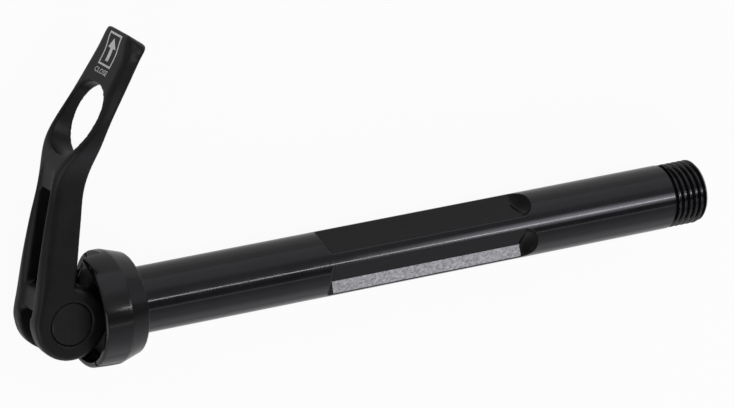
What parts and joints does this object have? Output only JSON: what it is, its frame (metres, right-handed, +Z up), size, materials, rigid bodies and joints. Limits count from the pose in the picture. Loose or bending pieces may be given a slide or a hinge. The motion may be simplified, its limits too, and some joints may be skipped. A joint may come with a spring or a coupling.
{
  "type": "bicycle thru axle",
  "caption": "Hollow threaded front wheel axle with milled flats, a split expanding head cup and a cam lever that spreads the cup to lock it.",
  "frame": {"origin": "on the shaft's axis, in the plane of the head cup's face that meets the fork leg", "axes": "+X along the shaft from the head to the thread, +Y the way the shut lever points, +Z up along the lever's pivot"},
  "size_m": [0.1731, 0.0759, 0.026],
  "materials": {
    "shaft": "gloss black anodised",
    "cup": "gloss black anodised",
    "lever": "satin black anodised",
    "barrel": "satin black",
    "screw": "black oxide",
    "washer": "plain",
    "pad": "matte black",
    "wedge": "black oxide",
    "spring": "plain"
  },
  "bodies": {
    "axle": {"axle_shaft": "shaft", "head_cup": "cup", "thrust_washer": "washer", "return_spring": "spring"},
    "swivel": {"pivot_barrel": "barrel", "draw_screw": "screw"},
    "lever": {"lever": "lever"},
    "wedge": {"cam_pad": "pad", "expander_wedge": "wedge"}
  },
  "joints": [
    {"name": "head_swivel", "type": "hinge", "parent": "axle", "child": "swivel", "pos_m": [0, 0, 0], "axis": [1, 0, 0], "continuous": true},
    {"name": "lever_flip", "type": "hinge", "parent": "swivel", "child": "lever", "pos_m": [-0.0165, 0, 0], "axis": [0, 0, 1], "range_deg": [0, 165]},
    {"name": "wedge_slide", "type": "slide", "parent": "swivel", "child": "wedge", "axis": [-1, 0, 0], "range_m": [0, 0.00056]}
  ],
  "couplings": [
    {"joint": "wedge_slide", "follows": "lever_flip", "m_per_rad": 0.00019099}
  ]
}
